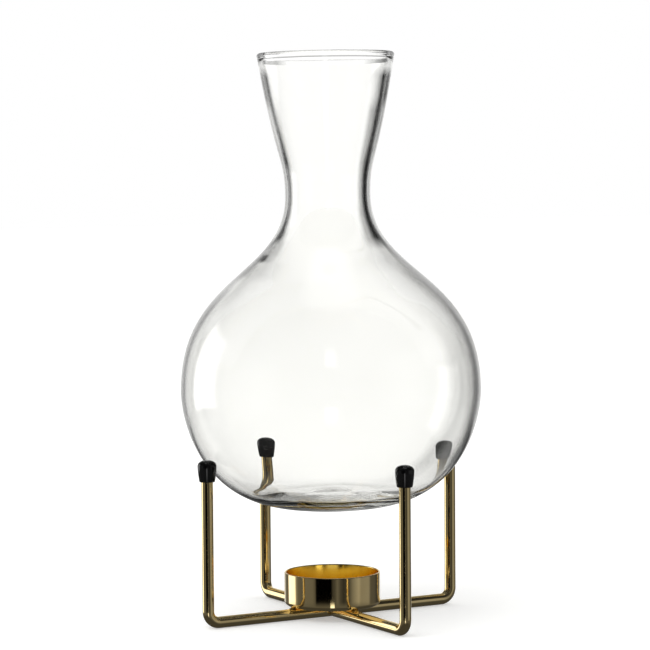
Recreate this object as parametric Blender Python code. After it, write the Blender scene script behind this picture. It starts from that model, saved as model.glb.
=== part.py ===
"""Wine carafe of blown glass in the cradle of a brass wire warming stand.

Lengths are metres and +Z is up. The origin is on the table, under the crossing of the stand's
wires. The long wire lies along X and the two half wires along Y. The carafe rests on the caps of
the four wire legs, and the cup for a tealight stands on the crossing under it.

Outlines are lists of (radius, height) or (across, up) points.
"""
import math
from dataclasses import dataclass

import bmesh
import bpy
from mathutils import Matrix, Vector

# Clearance between two pieces that touch
FIT_GAP = 0.0003

# Wire of the stand, round bar bent to four upright legs
ROD_RADIUS = 0.0025
BEND_RADIUS = 0.005
LEG_HEIGHT = 0.0700

# Moulded caps on the leg ends
CAP_RADIUS = 0.0041
CAP_MOUTH_RADIUS = 0.0034
CAP_HEIGHT = 0.0094
CAP_DOME_HEIGHT = 0.0027
CAP_TAPER_POWER = 1.5
CAP_END_WALL = 0.0026
CAP_EDGE_RADIUS = 0.0004

# Drawn cup for a tealight
CUP_RADIUS = 0.0211
CUP_HEIGHT = 0.0146
CUP_WALL = 0.0008
CUP_CORNER_RADIUS = 0.0020

# Brazing at the crossing, between the wires
FILLET_LEG = 0.0024
FILLET_TIP = 0.0003
FILLET_HEIGHT = 0.0022

# Brazing under the rim of the cup's bottom, on each wire
BEAD_REACH = 0.0024
BEAD_WIDTH = 0.0026
BEAD_RISE = 0.0011

# Glass carafe, heights from the face that it stands on
BASE_RADIUS = 0.0143
PUNT_RADIUS = 0.0075
PUNT_DEPTH = 0.0008
BULB_RADIUS = 0.0657
BULB_HEIGHT = 0.0513
WAIST_RADIUS = 0.0186
WAIST_HEIGHT = 0.1367
CARAFE_HEIGHT = 0.1985
MOUTH_RADIUS = 0.0299
LIP_RADIUS = 0.00125
GLASS_WALL = 0.0020
BASE_THICKNESS = 0.0042

# Fullness of the carafe's curves, as shares of the span that each handle points along
BASE_SWEEP_SHARE = 0.85
LOWER_BULB_SHARE = 0.234
UPPER_BULB_SHARE = 0.605
SHOULDER_SHARE = 0.414
NECK_FOOT_SHARE = 0.275
NECK_FLARE_SHARE = 0.771
FLARE_ANGLE = math.radians(10.0)

# Where on the curve from base to widest point the caps touch the bulb
SEAT_SHARE = 0.522

# The carafe leans a little in its cradle, about the middle of its bulb
LEAN_ANGLE = math.radians(0.57)
LEAN_TOWARDS = math.radians(150.0)

# The lip's round edge, as angles on its circle where the outer and the inner wall meet it
LIP_OUTER_ANGLE = math.radians(-40.0)
LIP_INNER_ANGLE = math.radians(205.0)

# Facets
ROD_SIDES = 20
CUP_SIDES = 48
GLASS_SIDES = 48
BEND_STEPS = 7
EDGE_STEPS = 4
CORNER_STEPS = 5
DOME_STEPS = 7
LOWER_STEPS = 11
UPPER_STEPS = 13
NECK_STEPS = 7
LIP_STEPS = 6

QUARTER_TURN = math.pi / 2
SMOOTH_ANGLE = math.radians(40.0)
DOWN = math.radians(-90.0)
LEG_ANGLES = {"front_left": math.pi, "front_right": DOWN, "rear_left": QUARTER_TURN, "rear_right": 0.0}
CORNER_NAMES = ("right", "rear", "left", "front")


@dataclass(frozen=True)
class Finish:
    """Colour and gloss of one material."""

    name: str
    colour: tuple
    roughness: float
    metallic: float = 0.0
    transmission: float = 0.0


CLEAR_GLASS = Finish("clear_glass", (0.93, 0.95, 0.95, 1.0), 0.02, transmission=1.0)
POLISHED_BRASS = Finish("polished_brass", (0.62, 0.50, 0.28, 1.0), 0.18, metallic=1.0)
BRAZING_METAL = Finish("brazing_metal", (0.55, 0.42, 0.22, 1.0), 0.35, metallic=1.0)
BLACK_VINYL = Finish("black_vinyl", (0.012, 0.012, 0.013, 1.0), 0.25)


def material(finish):
    """Return the Blender material of a finish, made once."""
    made = bpy.data.materials.get(finish.name)
    if made:
        return made
    made = bpy.data.materials.new(finish.name)
    made.use_nodes = True
    shader = made.node_tree.nodes["Principled BSDF"]
    shader.inputs["Base Color"].default_value = finish.colour
    shader.inputs["Roughness"].default_value = finish.roughness
    shader.inputs["Metallic"].default_value = finish.metallic
    shader.inputs["Transmission Weight"].default_value = finish.transmission
    return made


def add_object(name, mesh, finish, parent=None):
    """Link a mesh to the scene as a smooth-shaded object of one finish."""
    if not mesh.materials:
        mesh.materials.append(material(finish))
    mesh.shade_smooth()
    mesh.set_sharp_from_angle(angle=SMOOTH_ANGLE)
    item = bpy.data.objects.new(name, mesh)
    bpy.context.scene.collection.objects.link(item)
    item.parent = parent
    return item


def mesh_from(name, build):
    """Make a mesh from a function that fills a bmesh."""
    work = bmesh.new()
    build(work)
    mesh = bpy.data.meshes.new(name)
    work.to_mesh(mesh)
    work.free()
    return mesh


def arc(centre, radii, start, end, steps):
    """Points along a circle or ellipse from one angle to another, ends included."""
    angles = [start + (end - start) * step / steps for step in range(steps + 1)]
    return [(centre[0] + radii[0] * math.cos(a), centre[1] + radii[1] * math.sin(a)) for a in angles]


def curve_point(handles, share):
    """Point at a share of the way along a cubic curve, and the unit normal on its right."""
    rest = 1 - share
    weights = (rest ** 3, 3 * rest ** 2 * share, 3 * rest * share ** 2, share ** 3)
    slopes = (-rest ** 2, rest ** 2 - 2 * rest * share, 2 * rest * share - share ** 2, share ** 2)
    point = sum((w * Vector(h) for w, h in zip(weights, handles)), Vector((0, 0)))
    along = sum((s * Vector(h) for s, h in zip(slopes, handles)), Vector((0, 0))).normalized()
    return point, Vector((along.y, -along.x))


def lathe(name, outline, sides):
    """Turn an outline that starts and ends on the axis, with its material on the left.

    The facets lie on the round surface, and one of them faces +X.
    """
    def build(work):
        turns = [2 * math.pi * (side + 0.5) / sides for side in range(sides)]
        outset = 1 / math.cos(math.pi / sides)
        rings = []
        for radius, height in outline:
            reach = radius * outset
            spokes = turns if radius else (0,)
            rings.append([work.verts.new((reach * math.cos(t), reach * math.sin(t), height)) for t in spokes])
        for low, high in zip(rings, rings[1:]):
            for side in range(sides):
                corners = [low[side % len(low)], low[(side + 1) % len(low)]]
                corners += [high[(side + 1) % len(high)], high[side % len(high)]]
                work.faces.new(list(dict.fromkeys(corners)))
    return mesh_from(name, build)


def wire(name, path, radius):
    """Sweep a round bar along points in the XZ plane, with a flat facet along its underside."""
    def build(work):
        points = [Vector(point) for point in path]
        rings = []
        for place, point in enumerate(points):
            before, after = points[max(place - 1, 0)], points[min(place + 1, len(points) - 1)]
            inward, outward = (point - before).normalized(), (after - point).normalized()
            along = (inward + outward).normalized()
            stretch = 1 / max(along.dot(inward), along.dot(outward))
            across = Vector((-along.y, along.x)) * stretch
            corner_radius = radius / math.cos(math.pi / ROD_SIDES)
            ring = []
            for side in range(ROD_SIDES):
                turn = 2 * math.pi * (side + 0.5) / ROD_SIDES
                offset = across * corner_radius * math.cos(turn)
                ring.append(work.verts.new((point.x + offset.x, corner_radius * math.sin(turn), point.y + offset.y)))
            rings.append(ring)
        for near, far in zip(rings, rings[1:]):
            for side in range(ROD_SIDES):
                following = (side + 1) % ROD_SIDES
                work.faces.new((near[side], near[following], far[following], far[side]))
        work.faces.new(rings[0][::-1])
        work.faces.new(rings[-1])
        bmesh.ops.recalc_face_normals(work, faces=work.faces)
    return mesh_from(name, build)


def prism(name, outline, depth):
    """Extrude a closed outline in the XY plane to both sides of it."""
    def build(work):
        low, high = [[work.verts.new((x, y, z)) for x, y in outline] for z in (-depth / 2, depth / 2)]
        work.faces.new(low[::-1])
        work.faces.new(high)
        for place in range(len(outline)):
            work.faces.new((low[place - 1], low[place], high[place], high[place - 1]))
        bmesh.ops.recalc_face_normals(work, faces=work.faces)
    return mesh_from(name, build)


def lower_bulb():
    """Handles of the outer curve from the base to the widest point."""
    span = BULB_RADIUS - BASE_RADIUS
    return ((BASE_RADIUS, 0), (BASE_RADIUS + BASE_SWEEP_SHARE * span, 0),
            (BULB_RADIUS, BULB_HEIGHT * (1 - LOWER_BULB_SHARE)), (BULB_RADIUS, BULB_HEIGHT))


def upper_bulb():
    """Handles of the outer curve from the widest point over the shoulder to the waist."""
    span = WAIST_HEIGHT - BULB_HEIGHT
    return ((BULB_RADIUS, BULB_HEIGHT), (BULB_RADIUS, BULB_HEIGHT + UPPER_BULB_SHARE * span),
            (WAIST_RADIUS, WAIST_HEIGHT - SHOULDER_SHARE * span), (WAIST_RADIUS, WAIST_HEIGHT))


def lip_centre():
    """Centre of the lip's round section."""
    return MOUTH_RADIUS - LIP_RADIUS, CARAFE_HEIGHT - LIP_RADIUS


def neck():
    """Handles of the outer curve from the waist up the flare to the lip."""
    end = arc(lip_centre(), (LIP_RADIUS, LIP_RADIUS), LIP_OUTER_ANGLE, LIP_OUTER_ANGLE, 1)[0]
    span = end[1] - WAIST_HEIGHT
    back = NECK_FLARE_SHARE * span
    return ((WAIST_RADIUS, WAIST_HEIGHT), (WAIST_RADIUS, WAIST_HEIGHT + NECK_FOOT_SHARE * span),
            (end[0] - back * math.tan(FLARE_ANGLE), end[1] - back), end)


def cap_dome_height():
    """Height above the table of the widest place of a leg cap."""
    return LEG_HEIGHT + FIT_GAP + CAP_END_WALL - CAP_DOME_HEIGHT


def seat():
    """Radius of the leg circle, and the height of the carafe's base, with the bulb on the caps."""
    touch, out = curve_point(lower_bulb(), SEAT_SHARE)
    reach = math.hypot(CAP_RADIUS * out.x, CAP_DOME_HEIGHT * out.y)
    centre_radius = touch.x + FIT_GAP * out.x + CAP_RADIUS ** 2 * out.x / reach
    centre_height = touch.y + FIT_GAP * out.y + CAP_DOME_HEIGHT ** 2 * out.y / reach
    return centre_radius, cap_dome_height() - centre_height


def carafe_outline():
    """Outer curves from the punt to the lip, then the inner wall back down to the floor."""
    outside, inside = [], []
    for handles, steps in ((lower_bulb(), LOWER_STEPS), (upper_bulb(), UPPER_STEPS), (neck(), NECK_STEPS)):
        for step in range(steps + 1):
            point, out = curve_point(handles, step / steps)
            low_share = max(0.0, 1 - point.y / BULB_HEIGHT)
            wall = GLASS_WALL + (BASE_THICKNESS - GLASS_WALL) * low_share ** 2
            outside.append(tuple(point))
            inside.append(tuple(point - out * wall))
    joints = (LOWER_STEPS + 1, LOWER_STEPS + UPPER_STEPS + 2)
    outside = [point for place, point in enumerate(outside) if place not in joints]
    inside = [point for place, point in enumerate(inside) if place not in joints]
    dome = PUNT_RADIUS ** 2 / PUNT_DEPTH
    punt = [(0, PUNT_DEPTH), (PUNT_RADIUS / 2, PUNT_DEPTH - (PUNT_RADIUS / 2) ** 2 / dome), (PUNT_RADIUS, 0)]
    lip = arc(lip_centre(), (LIP_RADIUS, LIP_RADIUS), LIP_OUTER_ANGLE, LIP_INNER_ANGLE, LIP_STEPS)
    return punt + outside[:-1] + lip + inside[-2::-1] + [(0, BASE_THICKNESS)]


def add_carafe(base_height):
    """Place the blown glass carafe on the caps, with its origin in the middle of its bulb."""
    outline = [(radius, height - BULB_HEIGHT) for radius, height in carafe_outline()]
    carafe = add_object("carafe_glass", lathe("carafe_glass", outline, GLASS_SIDES), CLEAR_GLASS)
    tilt_axis = Vector((math.cos(LEAN_TOWARDS + QUARTER_TURN), math.sin(LEAN_TOWARDS + QUARTER_TURN), 0))
    carafe.location = (0, 0, base_height + BULB_HEIGHT)
    carafe.rotation_euler = Matrix.Rotation(LEAN_ANGLE, 3, tilt_axis).to_euler()
    return carafe


def leg_path(leg_radius):
    """Centre line from the middle of the floor run out to a leg and up to its end."""
    centre = (leg_radius - BEND_RADIUS, ROD_RADIUS + BEND_RADIUS)
    bend = arc(centre, (BEND_RADIUS, BEND_RADIUS), DOWN, 0.0, BEND_STEPS)
    return bend + [(leg_radius, LEG_HEIGHT)]


def add_long_wire(leg_radius, stand):
    """The bar that runs from leg to leg in one length."""
    half = leg_path(leg_radius)
    mirrored = [(-across, up) for across, up in half[::-1]]
    return add_object("long_wire", wire("long_wire", mirrored + half, ROD_RADIUS), POLISHED_BRASS, stand)


def add_cope_cutter():
    """Straight bar along the long wire, wider by the fit, that hollows the half wires' ends."""
    reach = ROD_RADIUS + FIT_GAP + CUP_RADIUS
    path = [(-reach, ROD_RADIUS), (reach, ROD_RADIUS)]
    cutter = add_object("cope_cutter", wire("cope_cutter", path, ROD_RADIUS + FIT_GAP), POLISHED_BRASS)
    cutter.hide_render = True
    cutter.display_type = "WIRE"
    return cutter


def add_half_wire(name, turn, leg_radius, cutter, stand):
    """One leg and its run to the crossing, with the end hollowed to sit against the long wire."""
    path = [(0, ROD_RADIUS)] + leg_path(leg_radius)
    half = add_object(name, wire(name, path, ROD_RADIUS), POLISHED_BRASS, stand)
    half.rotation_euler.z = turn
    cope = half.modifiers.new("cope", "BOOLEAN")
    cope.operation = "DIFFERENCE"
    cope.object = cutter
    return half


def cap_outline():
    """Blind sleeve with a domed end, heights from its open end, from bore to dome."""
    bore = ROD_RADIUS + FIT_GAP
    bore_end = CAP_HEIGHT - CAP_END_WALL
    dome_base = CAP_HEIGHT - CAP_DOME_HEIGHT
    mouth_centre = (CAP_MOUTH_RADIUS - CAP_EDGE_RADIUS, CAP_EDGE_RADIUS)
    edge = arc(mouth_centre, (CAP_EDGE_RADIUS, CAP_EDGE_RADIUS), DOWN, 0.0, EDGE_STEPS)
    swell = [(CAP_RADIUS - (CAP_RADIUS - CAP_MOUTH_RADIUS) * (1 - share) ** CAP_TAPER_POWER,
              CAP_EDGE_RADIUS + (dome_base - CAP_EDGE_RADIUS) * share) for share in (1 / 3, 2 / 3)]
    dome = arc((0, dome_base), (CAP_RADIUS, CAP_DOME_HEIGHT), 0.0, QUARTER_TURN, DOME_STEPS)[:-1]
    return [(0, bore_end), (bore, bore_end), (bore, 0)] + edge + swell + dome + [(0, CAP_HEIGHT)]


def add_leg_cap(corner, angle, leg_radius, stand):
    """One moulded cap, pushed over the end of a leg."""
    name = "leg_cap_" + corner
    cap = add_object(name, lathe(name, cap_outline(), ROD_SIDES), BLACK_VINYL, stand)
    base = cap_dome_height() + CAP_DOME_HEIGHT - CAP_HEIGHT
    cap.location = (leg_radius * math.cos(angle), leg_radius * math.sin(angle), base)
    cap.rotation_euler.z = angle
    return cap


def cup_base_height():
    """Height of the cup's underside, on top of the wires."""
    return 2 * ROD_RADIUS + FIT_GAP


def cup_outline():
    """Thin drawn cup with a rounded bottom corner and a rounded lip, from underside to floor."""
    outer, inner = CUP_CORNER_RADIUS, CUP_CORNER_RADIUS - CUP_WALL
    centre = (CUP_RADIUS - CUP_CORNER_RADIUS, CUP_CORNER_RADIUS)
    lip_middle = (CUP_RADIUS - CUP_WALL / 2, CUP_HEIGHT - CUP_WALL / 2)
    outside = arc(centre, (outer, outer), DOWN, 0.0, CORNER_STEPS)
    lip = arc(lip_middle, (CUP_WALL / 2, CUP_WALL / 2), 0.0, math.pi, EDGE_STEPS)
    inside = arc(centre, (inner, inner), 0.0, DOWN, CORNER_STEPS)
    return [(0, 0)] + outside + lip + inside + [(0, CUP_WALL)]


def add_cup(stand):
    """The candle cup, brazed on the crossing."""
    cup = add_object("candle_cup", lathe("candle_cup", cup_outline(), CUP_SIDES), POLISHED_BRASS, stand)
    cup.location.z = cup_base_height()
    return cup


def fillet_outline():
    """Hollow-faced corner fillet between two wires, seen from above."""
    side = ROD_RADIUS + FIT_GAP
    end = side + FILLET_LEG
    face = arc((end, end), (FILLET_LEG - FILLET_TIP, FILLET_LEG - FILLET_TIP), DOWN, -math.pi, CORNER_STEPS)
    return [(side, side), (end, side)] + face + [(side, end)]


def add_crossing_fillets(stand):
    """The four corner fillets that join the half wires to the long wire."""
    mesh = prism("crossing_fillet", fillet_outline(), FILLET_HEIGHT)
    for quarter, corner in enumerate(CORNER_NAMES):
        fillet = add_object("crossing_fillet_" + corner, mesh, BRAZING_METAL, stand)
        fillet.location.z = ROD_RADIUS
        fillet.rotation_euler.z = quarter * QUARTER_TURN


def bead_outline():
    """Wedge of brazing between the top of a wire and the cup's rounded bottom corner."""
    floor = 2 * ROD_RADIUS + FIT_GAP
    centre = (CUP_RADIUS - CUP_CORNER_RADIUS, cup_base_height() + CUP_CORNER_RADIUS)
    reach = CUP_CORNER_RADIUS + FIT_GAP
    low = -math.acos((centre[1] - floor) / reach)
    start, end = DOWN - low, DOWN + math.acos((CUP_CORNER_RADIUS - BEAD_RISE) / reach)
    against = arc(centre, (reach, reach), start, end, CORNER_STEPS)
    outer = against[0][0] + BEAD_REACH
    top = against[-1]
    return against + [((top[0] + outer) / 2, floor + BEAD_RISE / 2), (outer, floor)]


def add_cup_beads(stand):
    """The four beads that hold the cup's bottom corner to the wires."""
    mesh = prism("cup_bead", bead_outline(), BEAD_WIDTH)
    for corner, angle in LEG_ANGLES.items():
        bead = add_object("cup_bead_" + corner, mesh, BRAZING_METAL, stand)
        bead.rotation_euler = (QUARTER_TURN, 0, angle)


def build_stand(leg_radius):
    """Wires, caps, cup and brazing, held by one empty at the origin."""
    stand = bpy.data.objects.new("stand", None)
    bpy.context.scene.collection.objects.link(stand)
    cutter = add_cope_cutter()
    add_long_wire(leg_radius, stand)
    add_half_wire("front_half_wire", DOWN, leg_radius, cutter, stand)
    add_half_wire("rear_half_wire", QUARTER_TURN, leg_radius, cutter, stand)
    add_crossing_fillets(stand)
    add_cup(stand)
    add_cup_beads(stand)
    for corner, angle in LEG_ANGLES.items():
        add_leg_cap(corner, angle, leg_radius, stand)


def main():
    """Clear the scene and build the carafe in its stand."""
    for item in list(bpy.data.objects):
        bpy.data.objects.remove(item, do_unlink=True)
    leg_radius, base_height = seat()
    build_stand(leg_radius)
    add_carafe(base_height)


main()
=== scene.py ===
"""Clear blown glass wine carafe in its brass wire warming stand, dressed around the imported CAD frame.

Lengths are metres, +Z is up and the origin is on the table under the crossing of the wires. Outlines
are lists of (radius, height) or (across, up) points. Every piece has the size of the CAD node that it
stands for: what is finer here is the roundness, the edges, the brazing and the surfaces.
"""
import logging
import math
from collections.abc import Callable
from dataclasses import dataclass
from enum import Enum
from functools import partial

import bmesh
import bpy
from mathutils import Matrix, Vector, noise


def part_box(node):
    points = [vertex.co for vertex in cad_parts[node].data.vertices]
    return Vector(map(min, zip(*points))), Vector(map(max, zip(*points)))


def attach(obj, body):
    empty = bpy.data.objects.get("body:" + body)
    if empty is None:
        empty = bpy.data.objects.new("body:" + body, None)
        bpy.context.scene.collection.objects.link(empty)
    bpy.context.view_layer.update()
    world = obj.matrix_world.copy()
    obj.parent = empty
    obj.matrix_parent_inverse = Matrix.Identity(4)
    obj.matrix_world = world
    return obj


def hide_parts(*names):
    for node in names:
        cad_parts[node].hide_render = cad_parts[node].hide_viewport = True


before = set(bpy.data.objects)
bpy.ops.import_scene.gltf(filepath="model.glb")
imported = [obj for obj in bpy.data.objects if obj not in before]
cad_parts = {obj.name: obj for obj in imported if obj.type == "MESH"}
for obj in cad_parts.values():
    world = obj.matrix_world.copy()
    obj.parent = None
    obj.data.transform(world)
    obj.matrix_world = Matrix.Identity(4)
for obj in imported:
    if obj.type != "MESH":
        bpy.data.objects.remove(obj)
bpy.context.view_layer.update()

SCENE = bpy.context.scene
MM = 0.001
QUARTER_TURN = math.pi / 2
DOWN = -QUARTER_TURN
CAMERA_AZIMUTH = math.radians(-29.84)
ON_AXIS = 1e-9
Point = tuple[float, float]
Triple = tuple[float, float, float]
Colour = tuple[float, float, float, float]
Stops = tuple[Point, ...]
Socket = bpy.types.NodeSocket
Adder = Callable[..., Socket]
Material = bpy.types.Material
Mesh = bpy.types.Mesh
LOG = logging.getLogger("carafe")


class Place(Enum):
    """Places on the object."""

    @property
    def label(self) -> str:
        """Name in small letters, as the CAD nodes write it."""
        return self.name.lower()


class Leg(Place):
    """The four legs, by their place in the photo and their direction from the crossing."""

    FRONT_LEFT = math.pi
    FRONT_RIGHT = DOWN
    REAR_LEFT = QUARTER_TURN
    REAR_RIGHT = 0.0


class Quarter(Place):
    """The four corners between the wires, by their turn from the one between +X and +Y."""

    RIGHT = 0
    REAR = 1
    LEFT = 2
    FRONT = 3


class Skin(Place):
    """The parts of the blown glass's surface."""

    OUTER = 0
    INNER = 1
    LIP = 2


def linear(colour: str) -> Colour:
    """Turn an sRGB hex colour to linear.

    Args:
        colour: Six hex digits after a #.

    Returns:
        Linear red, green, blue and an alpha of 1.
    """
    parts = [int(colour[place:place + 2], 16) / 255 for place in (1, 3, 5)]
    red, green, blue = [p / 12.92 if p <= 0.04045 else ((p + 0.055) / 1.055) ** 2.4 for p in parts]
    return red, green, blue, 1.0


def grey(level: float) -> Colour:
    """Linear grey of a level, with an alpha of 1."""
    return level, level, level, 1.0


def feed(node: bpy.types.Node, values: dict) -> None:
    """Set the inputs of a node, or link them to the outputs that feed them.

    Args:
        node: Node to feed.
        values: Socket name or number to a value, or to the output socket that feeds it.
    """
    for socket, value in values.items():
        if isinstance(value, Socket):
            node.id_data.links.new(value, node.inputs[socket])
        else:
            node.inputs[socket].default_value = value


def add_node(tree: bpy.types.NodeTree, kind: str, values: dict | None = None, output: str | int = 0,
             **settings: object) -> Socket:
    """Add a node with its settings, its socket values and its links.

    Args:
        tree: Node tree to add to.
        kind: Blender's node type, without "ShaderNode".
        values: What feeds its inputs, by socket name or number.
        output: Name or number of the output to hand back.
        settings: Properties of the node itself.

    Returns:
        The new node's output.
    """
    node = tree.nodes.new("ShaderNode" + kind)
    for name, value in settings.items():
        setattr(node, name, value)
    feed(node, values or {})
    return node.outputs[output]


def set_stops(colour: Socket, stops: list[tuple[float, float | Colour]]) -> Socket:
    """Fill a colour ramp.

    Args:
        colour: The ramp's output.
        stops: Position and grey level or linear colour of each stop, in order.

    Returns:
        The same output.
    """
    ramp = colour.node.color_ramp
    while len(ramp.elements) < len(stops):
        ramp.elements.new(1.0)
    for element, (position, level) in zip(ramp.elements, stops):
        element.position = position
        element.color = level if isinstance(level, tuple) else grey(level)
    return colour


def new_material(name: str) -> tuple[Material, Adder, bpy.types.Node, bpy.types.Node]:
    """Make a material and hand back what adds its nodes, its Principled shader and its output node."""
    made = bpy.data.materials.new(name)
    made.use_nodes = True
    nodes = made.node_tree.nodes
    return made, partial(add_node, made.node_tree), nodes["Principled BSDF"], nodes["Material Output"]


@dataclass(frozen=True)
class PaintedShadeZone:
    """Painted shade of the inner skin on one side: a soft shade, the dark band and the rim beyond it.

    Each stop is a facing in thousandths and a tone in percent. The zone sets in between two heights in
    millimetres, and replaces the zone under it.
    """

    sets_in: Point
    stops: Stops


@dataclass(frozen=True)
class BlownGlass:
    """Soda-lime glass, mouth blown and fire polished.

    It is clear and almost colourless. Its edges read dark by painted shade: the inner skin's colour darkens
    with the angle inside the glass, as a Layer Weight gives it, by its own ramp in each height zone and on
    each side. The inner skin turns into a mirror at 0.267, and the wall's edge is at 0.33. The near lip has
    painted shade where it joins the wall, and the far lip a painted bright line along its top.
    Places along a direction are millimetres, with the carafe at rest.
    """

    skin: Skin
    tint: str = "#FFFFFE"
    ior: float = 1.47
    # painted shade of the inner skin on the carafe's left side, zone by zone up the wall
    left: tuple[PaintedShadeZone, ...] = (
        PaintedShadeZone((0, 1), ((262, 100), (268, 30), (272, 30), (276, 90))),
        PaintedShadeZone((50, 59), ((225, 95), (262, 90), (268, 80), (274, 50), (292, 30))),
        PaintedShadeZone((147, 150.5), ((150, 100), (225, 80), (250, 90), (260, 60), (269, 25), (275, 25), (281, 40))),
        PaintedShadeZone((155.2, 156.2), ((150, 100), (190, 95), (236, 60), (244, 40), (249, 10), (275, 10), (286, 40))),
        PaintedShadeZone((158, 159.2), ((150, 100), (190, 95), (212, 65), (240, 65), (250, 55), (270, 60), (286, 30),
            (295, 40))),
        PaintedShadeZone((163.5, 166), ((195, 100), (220, 70), (250, 10), (275, 15), (287, 40), (300, 80), (330, 75))),
        PaintedShadeZone((200, 210), ((195, 100), (220, 70), (250, 15), (260, 25), (293, 100), (330, 45))),
        PaintedShadeZone((222, 228), ((190, 100), (236, 60), (245, 25), (255, 20), (288, 60), (299, 35), (312, 20),
            (330, 20))),
        PaintedShadeZone((237, 241), ((0, 100), (1000, 100))))
    # painted shade of the inner skin on the carafe's right side, zone by zone up the wall
    right: tuple[PaintedShadeZone, ...] = (
        PaintedShadeZone((0, 1), ((262, 100), (268, 30), (272, 30), (276, 95))),
        PaintedShadeZone((64, 73), ((155, 95), (185, 70), (225, 75), (252, 55), (264, 30), (281, 30), (288, 45))),
        PaintedShadeZone((108, 140), ((155, 100), (225, 85), (252, 60), (264, 30), (281, 30), (288, 45))),
        PaintedShadeZone((151, 156), ((120, 100), (210, 80), (225, 70), (250, 80), (259, 50), (273, 25), (285, 45))),
        PaintedShadeZone((161, 166), ((135, 100), (155, 85), (182, 50), (195, 50), (228, 10), (250, 0), (280, 20),
            (293, 70), (330, 75))),
        PaintedShadeZone((200, 210), ((135, 100), (155, 85), (182, 50), (208, 45), (237, 5), (257, 10), (290, 70),
            (304, 45), (330, 45))),
        PaintedShadeZone((222, 228), ((135, 100), (208, 60), (228, 35), (237, 10), (245, 5), (262, 20), (270, 40),
            (286, 15), (330, 10))),
        PaintedShadeZone((237, 241), ((0, 100), (1000, 100))))
    # painted shade of the lip at grazing angles, painted shade where the near lip joins the wall, and a painted
    # bright line on the far lip's top
    near_lip_painted_shade: Stops = ((250, 100), (275, 80), (500, 70), (800, 50), (1000, 40))
    far_lip_painted_shade: Stops = ((200, 100), (400, 50), (700, 20), (1000, 15))
    painted_crease_shade: Stops = ((368, 100), (400, 40), (480, 40), (720, 100))
    painted_rim_highlight: float = 0.90
    # directions and reaches that place the painted shade: left or right side, near or far lip, and the heights of
    # the lip's shaded join and bright top line
    to_the_right: Triple = (0.8674, -0.4976, 0.0)
    to_the_back: Triple = (0.4976, 0.8674, 0.0)
    up: Triple = (0.0, 0.0, 1.0)
    up_the_axis: Triple = (-0.00862, 0.00497, 0.99995)
    from_left_to_right: Point = (-12, 12)
    from_near_to_far: Point = (-6, 6)
    crease_reach: Point = (243.5, 246.0)
    near_lip_sets_in: Point = (245.35, 245.45)
    painted_rim_highlight_sets_in: Point = (245.90, 246.10)

    def toned(self, add: Adder, value: Socket, stops: Stops) -> Socket:
        """Ramp a tone over a facing or a share, with stops in thousandths and percent."""
        return set_stops(add("ValToRGB", {"Fac": value}), [(place / 1000, tone / 100) for place, tone in stops])

    def share(self, add: Adder, way: Triple, limits: Point) -> Socket:
        """Share from 0 to 1 between two places along a direction of the carafe."""
        place = add("TexCoord", output="Object")
        along = add("VectorMath", {0: place, 1: way}, "Value", operation="DOT_PRODUCT")
        start, end = limits
        return add("MapRange", {"Value": along, "From Min": start * MM, "From Max": end * MM})

    def passing(self, add: Adder, way: Triple, limits: Point, first: object, second: object) -> Socket:
        """Pass from one tone to another between two places along a direction."""
        return add("MixRGB", {"Fac": self.share(add, way, limits), "Color1": first, "Color2": second})

    def painted_inner_shade(self, add: Adder, facing: Socket) -> Socket:
        """Painted shade of the inner skin, zone over zone from the base up on each side, seen from inside the glass.
        """
        sides = []
        for zones in (self.left, self.right):
            tone: object = linear(self.tint)
            for zone in zones:
                tone = self.passing(add, self.up, zone.sets_in, tone, self.toned(add, facing, zone.stops))
            sides.append(tone)
        tone = self.passing(add, self.to_the_right, self.from_left_to_right, *sides)
        return add("MixRGB", {"Fac": add("NewGeometry", output="Backfacing"), "Color1": linear(self.tint),
                              "Color2": tone})

    def painted_lip_shade(self, add: Adder, facing: Socket) -> Socket:
        """Painted shade of the lip on the near side and on the far side, with a painted bright line on the far lip's
        top.
        """
        axis, rim = self.up_the_axis, grey(self.painted_rim_highlight)
        far = self.passing(add, axis, self.painted_rim_highlight_sets_in, self.toned(add, facing, self.far_lip_painted_shade), rim)
        painted_crease_shade = self.toned(add, self.share(add, axis, self.crease_reach), self.painted_crease_shade)
        near = self.passing(add, axis, self.near_lip_sets_in, painted_crease_shade, self.toned(add, facing, self.near_lip_painted_shade))
        return self.passing(add, self.to_the_back, self.from_near_to_far, near, far)

    def make(self) -> Material:
        """Build the node material of one part of the surface."""
        made, add, plain, output = new_material("blown_soda_glass_" + self.skin.label)
        made.node_tree.nodes.remove(plain)
        tone: object = linear(self.tint)
        # The inner skin and the lip carry painted shade in their colour; the outer skin keeps the plain tint.
        if self.skin is not Skin.OUTER:
            facing = add("LayerWeight", {"Blend": 0.5}, "Facing")
            tone = self.painted_inner_shade(add, facing) if self.skin is Skin.INNER else self.painted_lip_shade(add, facing)
        feed(output, {"Surface": add("BsdfGlass", {"Color": tone, "Roughness": 0.0, "IOR": self.ior})})
        return made


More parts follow.
